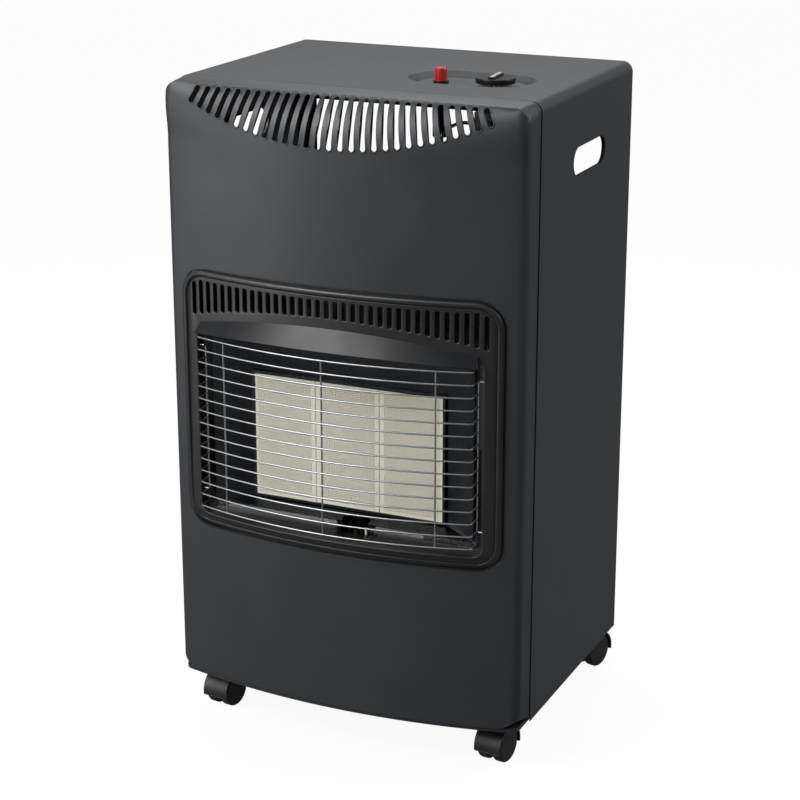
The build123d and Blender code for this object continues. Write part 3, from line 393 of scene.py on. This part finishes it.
def surroundSlotEnds(count):
    # middles of a slot's round ends; the outermost slots stop short of the bead's corner
    x = count * surround["slotPitch"]
    half = surround["slotWidth"] / 2
    low = surround["slotLow"] - surround["slotArc"] + math.sqrt(surround["slotArc"] ** 2 - x ** 2) + half
    top = surround["slotTop"] - half
    bend = surround["corner"] - surround["beadWidth"] - surround["slotRoll"] - half - surround["slotMargin"]
    past = abs(x) - (surround["halfWidth"] - surround["corner"])
    if past > 0:
        top = min(top, surround["top"] - surround["corner"] + math.sqrt(bend ** 2 - past ** 2))
    return Vector((x, low)), Vector((x, top))


def slotOutline(low, top, reach, segments=10):
    # upright slot: a half circle over its top and another under its foot
    arcs = [(top, 0), (low, 180)]
    return [(end.x + reach * math.cos(math.radians(start + 180 * k / segments)),
             end.y + reach * math.sin(math.radians(start + 180 * k / segments)))
            for end, start in arcs for k in range(segments + 1)]


def flatSheet(outlines):
    # a flat sheet in x and z, filled between its outer outline and its holes
    drawing = bpy.data.curves.new("blank", "CURVE")
    drawing.dimensions = "2D"
    drawing.fill_mode = "BOTH"
    for outline in outlines:
        spline = drawing.splines.new("POLY")
        spline.points.add(len(outline) - 1)
        for point, (x, z) in zip(spline.points, outline):
            point.co = (x, z, 0, 1)
        spline.use_cyclic_u = True
    holder = bpy.data.objects.new("blank", drawing)
    bpy.context.scene.collection.objects.link(holder)
    mesh = bpy.data.meshes.new_from_object(holder.evaluated_get(bpy.context.evaluated_depsgraph_get()))
    shape = bmesh.new()
    shape.from_mesh(mesh)
    bpy.data.objects.remove(holder)
    bpy.data.curves.remove(drawing)
    bpy.data.meshes.remove(mesh)
    bmesh.ops.transform(shape, matrix=Matrix.Rotation(math.radians(90), 4, "X"), verts=shape.verts)
    bmesh.ops.remove_doubles(shape, verts=shape.verts, dist=0.001)
    return shape


def cutStrips(shape, axis, places):
    for place in places:
        point, normal = Vector(), Vector()
        point[axis], normal[axis] = place, 1
        bmesh.ops.bisect_plane(shape, geom=shape.verts[:] + shape.edges[:] + shape.faces[:],
                               plane_co=point, plane_no=normal)


def rimEdges(shape, nearest, reach):
    # the free edges that run at this distance from the core
    def onRim(corner):
        return abs((Vector((corner.co.x, corner.co.z)) - nearest(corner.co)).length - reach) < 0.13
    return [edge for edge in shape.edges if edge.is_boundary and onRim(edge.verts[0]) and onRim(edge.verts[1])]


def makeSurround():
    bead, corner, roll = surround["beadWidth"], surround["corner"], surround["roll"]
    counts = range(-surround["slotsEachSide"], surround["slotsEachSide"] + 1)
    slots = [surroundSlotEnds(count) for count in counts]
    slotReach = surround["slotWidth"] / 2 + surround["slotRoll"]
    holeHalf = surround["openingHalf"] + roll
    outlines = [roundedOutline(surround["halfWidth"] - bead, surround["bottom"] + bead,
                               surround["top"] - bead, corner - bead),
                roundedOutline(holeHalf, surround["lip"] - roll, surround["openingTop"] + roll,
                               surround["openingCorner"] + roll)]
    outlines += [slotOutline(low, top, slotReach) for low, top in slots]
    shape = flatSheet(outlines)
    reach = int(surround["halfWidth"] / surround["strip"])
    cutStrips(shape, 0, [k * surround["strip"] + surround["stripOffset"] for k in range(-reach, reach + 1)])
    cutStrips(shape, 0, [surround["pilotX"] + side * surround["pilotHalf"] for side in (-1, 1)])
    cutStrips(shape, 2, surround["bandStrips"] + surround["sideStrips"])
    for point in shape.verts:
        point.co.y = surroundY(point.co.x, point.co.z)

    outerCore = nearestOnBox(surround["halfWidth"] - corner, surround["bottom"] + corner,
                             surround["top"] - corner)
    arc = [math.radians(angle) for angle in (12, 24, 45, 70, 95, 120, 145, 165, 180)]
    steps = [(corner - bead + 0.5, lambda x, z: surroundY(x, z) + surround["groove"])]
    steps += [(corner - (bead - 1) * (1 + math.cos(angle)) / 2,
               lambda x, z, angle=angle: surroundY(x, z) - beadRise(z) * math.sin(angle)) for angle in arc]
    backY = brow["crownY"] + surround["fasciaBack"]
    steps += [(corner, lambda x, z: bowY(x, backY, surround["fasciaRadius"])),
              (corner + surround["flange"], lambda x, z: bowY(x, backY, surround["fasciaRadius"]))]
    growRings(shape, rimEdges(shape, outerCore, corner - bead), outerCore, steps)

    inner = surround["openingCorner"]
    openingCore = nearestOnBox(surround["openingHalf"] - inner, surround["lip"] + inner,
                               surround["openingTop"] - inner)
    quarter = [math.radians(angle) for angle in (30, 60, 90)]
    steps = [(inner + roll * (1 - math.sin(angle)),
              lambda x, z, angle=angle: surroundY(x, z) + roll * (1 - math.cos(angle))) for angle in quarter]
    steps.append((inner, lambda x, z: surround["ledgeY"]))
    wallEnd = growRings(shape, rimEdges(shape, openingCore, inner + roll), openingCore, steps)
    mouth = nearestOnBox(surround["mouthHalf"], surround["mouthLow"], surround["openingTop"])
    growRings(shape, wallEnd, mouth, [(0, lambda x, z: surround["ledgeY"])])

    for low, top in slots:
        slotCore = nearestOnLine(low, top)
        half = surround["slotWidth"] / 2
        steps = [(half + surround["slotRoll"] * (1 - math.sin(angle)),
                  lambda x, z, angle=angle: surroundY(x, z) + surround["slotRoll"] * (1 - math.cos(angle)))
                 for angle in quarter]
        steps.append((half, lambda x, z: surroundY(x, z) + surround["slotWall"] + surround["slotRoll"]))
        growRings(shape, rimEdges(shape, slotCore, slotReach), slotCore, steps)

    # the pilot looks out through a notch in the ledge under the opening
    notch = [face for face in shape.faces
             if all(abs(point.co.x - surround["pilotX"]) < surround["pilotHalf"] + 0.01 for point in face.verts)
             and all(abs(point.co.y - surround["ledgeY"]) < 0.01 for point in face.verts)
             and face.calc_center_median().z < surround["mouthLow"]]
    bmesh.ops.delete(shape, geom=notch, context="FACES")
    bmesh.ops.remove_doubles(shape, verts=shape.verts, dist=0.002)
    bmesh.ops.recalc_face_normals(shape, faces=shape.faces)
    if max(shape.faces, key=lambda face: face.calc_area()).normal.y > 0:
        bmesh.ops.reverse_faces(shape, faces=shape.faces)
    bmesh.ops.transform(shape, matrix=drawnToFrame, verts=shape.verts)
    piece = addPiece("pressedSurround", shape, "burner_surround", crease=50)
    walls = piece.modifiers.new("sheetThickness", "SOLIDIFY")
    walls.thickness = surround["sheet"] * mm
    return piece


makeSurround()
addPiece("heatDeflector", startFromNode("heat_deflector", flatten=False), "heat_deflector")
print("surround and deflector made")

plaque = {"margin": 4.25 * mm, "pitch": 2.0 * mm, "land": 0.55 * mm, "taper": 0.12 * mm, "holeDepth": 1.4 * mm,
          "edge": 0.8 * mm}


def piercedPlaque(nodeName):
    # a field of small square holes in the front face, inside a plain margin, closed at the back
    low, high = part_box(nodeName)
    middle = (low + high) / 2
    half = Vector(((high.x - low.x) / 2, (high.z - low.z) / 2))
    columns, rows = [int(2 * (side - plaque["margin"]) / plaque["pitch"]) for side in half]
    fieldHalf = Vector((columns, rows)) * plaque["pitch"] / 2
    shape = bmesh.new()
    bmesh.ops.create_grid(shape, x_segments=columns, y_segments=rows, size=1)
    field = Matrix.Diagonal((fieldHalf.x, fieldHalf.y, 1, 1))
    upright = Matrix.Translation((middle.x, low.y, middle.z)) @ Matrix.Rotation(math.radians(90), 4, "X")
    bmesh.ops.transform(shape, matrix=upright @ field, verts=shape.verts)
    cells = list(shape.faces)
    rim = [edge for edge in shape.edges if edge.is_boundary]
    for reach, depth in ((half - Vector((plaque["edge"], plaque["edge"])), 0),
                         (half, plaque["edge"]), (half, high.y - low.y)):
        grown = bmesh.ops.extrude_edge_only(shape, edges=rim)["geom"]
        rim = [part for part in grown if isinstance(part, bmesh.types.BMEdge)]
        for corner in [part for part in grown if isinstance(part, bmesh.types.BMVert)]:
            across = (corner.co.x - middle.x) / fieldHalf.x
            upward = (corner.co.z - middle.z) / fieldHalf.y
            corner.co = (middle.x + across * reach.x, low.y + depth, middle.z + upward * reach.y)
        fieldHalf = reach
    bmesh.ops.contextual_create(shape, geom=rim)
    bmesh.ops.inset_individual(shape, faces=cells, thickness=plaque["land"], depth=0)
    bmesh.ops.inset_individual(shape, faces=cells, thickness=plaque["taper"], depth=-plaque["holeDepth"])
    bmesh.ops.recalc_face_normals(shape, faces=shape.faces)
    return shape


for nodeName in ("plaque_left", "plaque_centre", "plaque_right"):
    addPiece("piercedP" + nodeName[1:], piercedPlaque(nodeName), nodeName)
print("plaques made")

# the other pieces keep the form of their node, with eased edges where they show
easedEdges = {"control_knob": 0.5, "ignition_button": 0.3, "igniter_body": 0.4, "plaque_frame": 0.2,
              "reflector": 0.25, "rear_cover": 0.3, "cover_screws": 0.6, "base_pan": 0.3,
              "pilot_burner": 0.2, "pilot_bracket": 0.2, "hose_nozzle": 0.2}
finer = {"cabinet_wrap", "front_fascia", "burner_surround", "heat_deflector",
         "plaque_left", "plaque_centre", "plaque_right"}
for nodeName in nodes:
    if nodeName not in finer and not nodeName.startswith(("caster_hood", "wheel")):
        addPiece(nodeName + "Skin", startFromNode(nodeName), nodeName, easedEdges.get(nodeName, 0) * mm)

gripStrip = {"place": (118.0, -33.0, 751.0), "turn": 95.0, "length": 34.0, "width": 4.6, "lift": 0.15}


def makeGripStrip():
    # a light satin strip laid along the top of the knob's grip
    shape = bmesh.new()
    loop = bmesh.ops.create_circle(shape, cap_ends=True, segments=26, radius=gripStrip["width"] / 2)["verts"]
    for corner in loop:
        corner.co.y += math.copysign((gripStrip["length"] - gripStrip["width"]) / 2, corner.co.y)
    raised = bmesh.ops.extrude_face_region(shape, geom=shape.faces[:])["geom"]
    for corner in [part for part in raised if isinstance(part, bmesh.types.BMVert)]:
        corner.co.z += gripStrip["lift"]
    place = Matrix.Translation(gripStrip["place"]) @ Matrix.Rotation(math.radians(gripStrip["turn"] - 90), 4, "Z")
    bmesh.ops.transform(shape, matrix=drawnToFrame @ place, verts=shape.verts)
    bmesh.ops.recalc_face_normals(shape, faces=shape.faces)
    addPiece("knobGripStrip", shape, "control_knob", slot="cast_alloy")


makeGripStrip()

caster = {"hoodLow": 15.5 * mm, "hoodEdge": 0.6 * mm, "treadEdge": 2.5 * mm, "treadReach": 15 * mm,
          "boreShare": 0.15}


def cutHood(nodeName):
    # the hood and its web end above the floor, so both treads and the gap between them show
    shape = startFromNode(nodeName)
    everything = shape.verts[:] + shape.edges[:] + shape.faces[:]
    cut = bmesh.ops.bisect_plane(shape, geom=everything, plane_co=(0, 0, caster["hoodLow"]),
                                 plane_no=(0, 0, 1), clear_inner=True)["geom_cut"]
    rims = [part for part in cut if isinstance(part, bmesh.types.BMEdge)]
    bmesh.ops.holes_fill(shape, edges=rims, sides=0)
    return shape


def treadWeight(middle):
    # a wheel's tread is rounded in full and the edges near its bore only a little
    return lambda edge: 1 if (edge.verts[0].co - middle).length > caster["treadReach"] else caster["boreShare"]


for nodeName in nodes:
    if nodeName.startswith("caster_hood"):
        addPiece(nodeName + "Skin", cutHood(nodeName), nodeName, caster["hoodEdge"])
    elif nodeName.startswith("wheel"):
        middle = sum(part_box(nodeName), Vector()) / 2
        addPiece(nodeName + "Skin", startFromNode(nodeName), nodeName, caster["treadEdge"], 4,
                 weightOf=treadWeight(middle))
print("other pieces made")

room = {"floorPaint": "#444442", "floorGlow": 0.93, "glowInGloss": 0.1, "skyColour": "#f7f7f6",
        "skyLow": 0.06, "skyHigh": 0.5, "brightSide": (-0.45, -0.1, 0.85), "skyInGloss": 0.06}


def lightPathLevels(tree, cameraLevel, glossLevel):
    # the camera sees the full level, mirrors and glass a part of it, and lighting none
    path = addNode(tree, "LightPath")
    mirrored = addNode(tree, "Math", {"operation": "MAXIMUM"},
                       [(0, path.outputs["Is Glossy Ray"]), (1, path.outputs["Is Transmission Ray"])])
    gloss = addNode(tree, "Math", {"operation": "MULTIPLY", 1: glossLevel}, [(0, mirrored.outputs[0])])
    camera = addNode(tree, "Math", {"operation": "MULTIPLY", 1: cameraLevel},
                     [(0, path.outputs["Is Camera Ray"])])
    return addNode(tree, "Math", {"operation": "MAXIMUM"},
                   [(0, gloss.outputs[0]), (1, camera.outputs[0])]).outputs[0]


def makeFloor():
    shape = bmesh.new()
    bmesh.ops.create_grid(shape, x_segments=1, y_segments=1, size=30)
    mesh = bpy.data.meshes.new("studioFloor")
    shape.to_mesh(mesh)
    shape.free()
    floor = bpy.data.objects.new("studioFloor", mesh)
    bpy.context.scene.collection.objects.link(floor)
    finish, tree, shader = newFinish("studioFloorPaint", room["floorPaint"], 0, 0.9)
    shader.inputs["Emission Color"].default_value = (1, 1, 1, 1)
    glow = lightPathLevels(tree, room["floorGlow"], room["glowInGloss"])
    tree.links.new(glow, shader.inputs["Emission Strength"])
    mesh.materials.append(finish)


def makeSky():
    # a plain pale studio, lighter towards the lamps and dimmer on the far side
    world = bpy.data.worlds.new("studio")
    bpy.context.scene.world = world
    world.use_nodes = True
    tree = world.node_tree
    sky = tree.nodes["Background"]
    sky.inputs["Color"].default_value = linear(room["skyColour"])
    towards = addNode(tree, "TexCoord").outputs["Generated"]
    share = addNode(tree, "VectorMath", {"operation": "DOT_PRODUCT", 1: room["brightSide"]}, [(0, towards)])
    graded = addNode(tree, "MapRange", {"From Min": -0.8, "From Max": 1, "To Min": room["skyLow"],
                                        "To Max": room["skyHigh"]}, [("Value", share.outputs["Value"])])
    seen = lightPathLevels(tree, 1.0, room["skyInGloss"])
    level = addNode(tree, "Mix", {3: 1.0}, [(0, seen), (2, graded.outputs["Result"])])
    tree.links.new(level.outputs[0], sky.inputs["Strength"])


def addLamp(name, place, target, size, power):
    lamp = bpy.data.lights.new(name, "AREA")
    lamp.shape = "RECTANGLE"
    lamp.size, lamp.size_y = size
    lamp.energy = power
    holder = bpy.data.objects.new(name, lamp)
    bpy.context.scene.collection.objects.link(holder)
    holder.visible_camera = False
    holder.location = place
    holder.rotation_euler = (Vector(target) - Vector(place)).to_track_quat("-Z", "Y").to_euler()


# name, place, the place it is turned to, both sides in metres, and watts
lamps = (("softboxKey", (-1.05, -1.75, 1.85), (-0.05, -0.1, 0.4), (1.2, 1.2), 52),
         ("softboxTop", (-0.3, 0.9, 2.2), (0, 0, 0.6), (1.4, 1.4), 22),
         ("softboxLow", (-1.35, -1.4, 0.42), (-0.15, -0.2, 0.6), (0.9, 0.7), 8),
         ("fillRight", (1.9, 0.8, 1.7), (0.2, 0, 0.65), (1.1, 1.1), 28))
camera = {"place": (0.94851, -2.08982, 1.11070), "tilt": 90 - 17.95, "heading": 24.39, "lens": 95.07}


def makeCamera():
    lens = bpy.data.cameras.new("photoCamera")
    lens.sensor_width = 36
    lens.lens = camera["lens"]
    holder = bpy.data.objects.new("photoCamera", lens)
    bpy.context.scene.collection.objects.link(holder)
    holder.location = camera["place"]
    holder.rotation_euler = (math.radians(camera["tilt"]), 0, math.radians(camera["heading"]))
    bpy.context.scene.camera = holder


makeFloor()
makeSky()
for lamp in lamps:
    addLamp(*lamp)
makeCamera()
bpy.context.scene.view_settings.view_transform = "Standard"
print("room, lamps and camera set")
